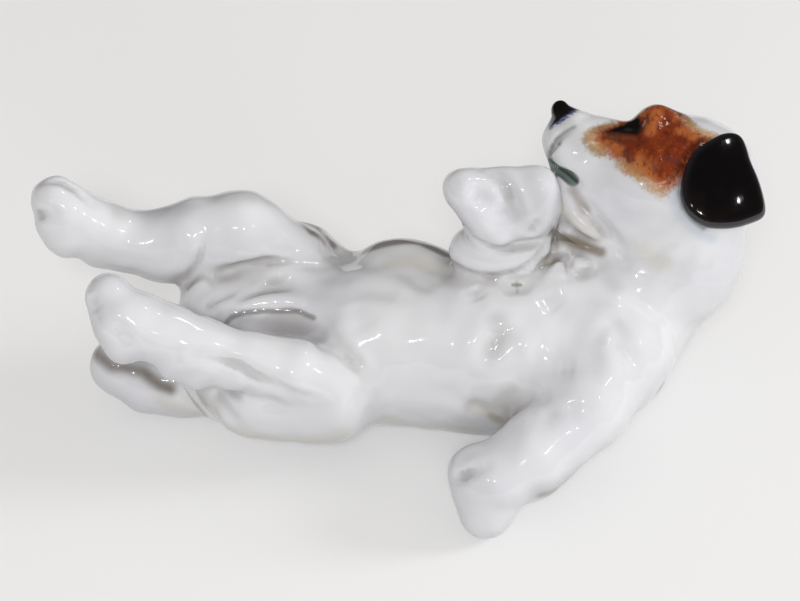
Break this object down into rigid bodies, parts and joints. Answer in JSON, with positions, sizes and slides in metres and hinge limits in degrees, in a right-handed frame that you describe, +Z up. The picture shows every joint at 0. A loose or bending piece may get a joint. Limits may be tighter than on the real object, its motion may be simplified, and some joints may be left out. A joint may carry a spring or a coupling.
{
  "type": "dog figurine",
  "caption": "Glazed white china figurine of a short-coated puppy lying on its back with its legs in the air, for a shelf or cabinet.",
  "frame": {"origin": "on the resting plane, under the middle of the back", "axes": "+X from the hips to the head, +Z up, away from the table; the dog's left side is at -Y"},
  "size_m": [0.1186, 0.0584, 0.0511],
  "materials": {
    "body_glaze": "clear glossy glaze over a cool white body, warm in the creases",
    "head_glaze": "clear glossy glaze over white, with a brushed orange-brown eye patch, black nose and dark green mouth",
    "leg_glaze": "clear glossy glaze over a cool white body",
    "black_glaze": "near-black painted ear under a clear glossy glaze"
  },
  "bodies": {
    "root": {"torso": "body_glaze", "head": "head_glaze", "left_ear": "black_glaze", "right_ear": "black_glaze", "left_foreleg": "leg_glaze", "right_foreleg": "leg_glaze", "left_hind_leg": "leg_glaze", "right_hind_leg": "leg_glaze", "tail": "leg_glaze"}
  },
  "joints": []
}
